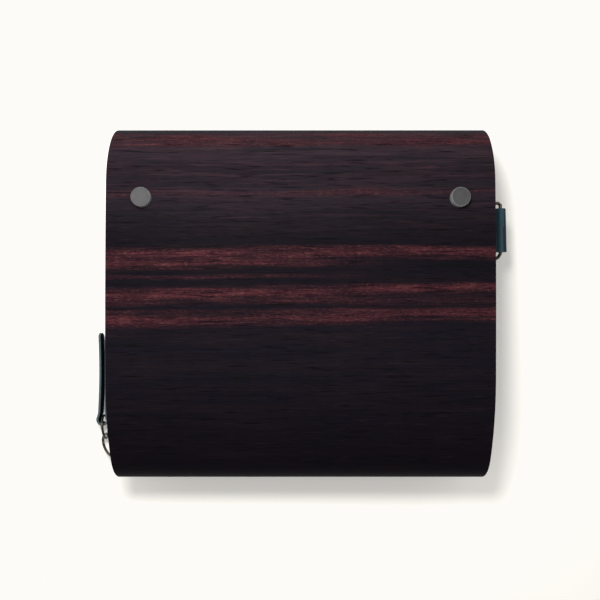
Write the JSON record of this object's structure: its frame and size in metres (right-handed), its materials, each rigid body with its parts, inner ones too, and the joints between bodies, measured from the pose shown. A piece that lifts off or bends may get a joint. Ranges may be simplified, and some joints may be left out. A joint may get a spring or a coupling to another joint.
{
  "type": "veneer clutch bag",
  "caption": "Flat-lying clutch bag: bent wood-veneer cover hinged on a leather spine over a zipped leather pouch, with snap studs, zip pull and side strap ring.",
  "frame": {"origin": "centre of the flat back face, on the surface the bag lies on", "axes": "+Z out of the front face, +Y towards the top edge, +X towards the side with the strap ring"},
  "size_m": [0.2481, 0.2017, 0.0677],
  "materials": {
    "veneer": "satin lacquer",
    "lining": "matt",
    "petrol_leather": "semi-matt",
    "zip_tape": "matt",
    "zip_metal": "satin",
    "gunmetal": "satin"
  },
  "bodies": {
    "base": {"back_shell": "veneer", "back_board": "lining", "spine_back": "petrol_leather", "pouch_wrap": "petrol_leather", "left_gusset": "petrol_leather", "right_gusset": "petrol_leather", "zip_tape_front": "zip_tape", "zip_tape_back": "zip_tape", "zip_teeth_front": "zip_metal", "zip_teeth_back": "zip_metal", "zip_stops": "zip_metal", "ring_tab": "petrol_leather", "tab_rivets": "gunmetal", "snap_posts": "gunmetal"},
    "flap": {"front_shell": "veneer", "front_lining": "lining", "spine_front": "petrol_leather", "stud_caps": "gunmetal", "stud_washers": "gunmetal", "snap_sockets": "gunmetal"},
    "slider": {"slider_body": "gunmetal", "slider_bail": "gunmetal"},
    "slider_tab": {"slider_tab": "gunmetal"},
    "pull_ring": {"pull_ring": "gunmetal"},
    "link_ring": {"link_ring": "gunmetal"},
    "leather_pull": {"leather_pull": "petrol_leather"},
    "d_ring": {"d_ring": "gunmetal"}
  },
  "joints": [
    {"name": "flap_hinge", "type": "hinge", "parent": "base", "child": "flap", "pos_m": [0, -0.0993, 0.032], "axis": [1, 0, 0], "range_deg": [0, 120]},
    {"name": "zip_slide", "type": "slide", "parent": "base", "child": "slider", "axis": [0, 1, 0], "range_m": [0, 0.16]},
    {"name": "slider_tab_swing", "type": "hinge", "parent": "slider", "child": "slider_tab", "pos_m": [-0.0992, -0.0887, 0.032], "axis": [0, 1, 0], "range_deg": [-8, 60]},
    {"name": "pull_ring_swing", "type": "hinge", "parent": "slider_tab", "child": "pull_ring", "pos_m": [-0.1095, -0.0887, 0.0246], "axis": [0, 1, 0], "range_deg": [-8, 50]},
    {"name": "link_ring_swing", "type": "hinge", "parent": "pull_ring", "child": "link_ring", "pos_m": [-0.1224, -0.082, 0.0083], "axis": [0, 1, 0], "range_deg": [-8, 10]},
    {"name": "leather_pull_swing", "type": "hinge", "parent": "link_ring", "child": "leather_pull", "pos_m": [-0.1237, -0.0706, 0.0067], "axis": [0, 0, 1], "range_deg": [-2, 50]},
    {"name": "strap_ring_swing", "type": "hinge", "parent": "base", "child": "d_ring", "pos_m": [0.1172, 0.0429, 0.033], "axis": [0, 1, 0], "range_deg": [-165, 5]}
  ]
}
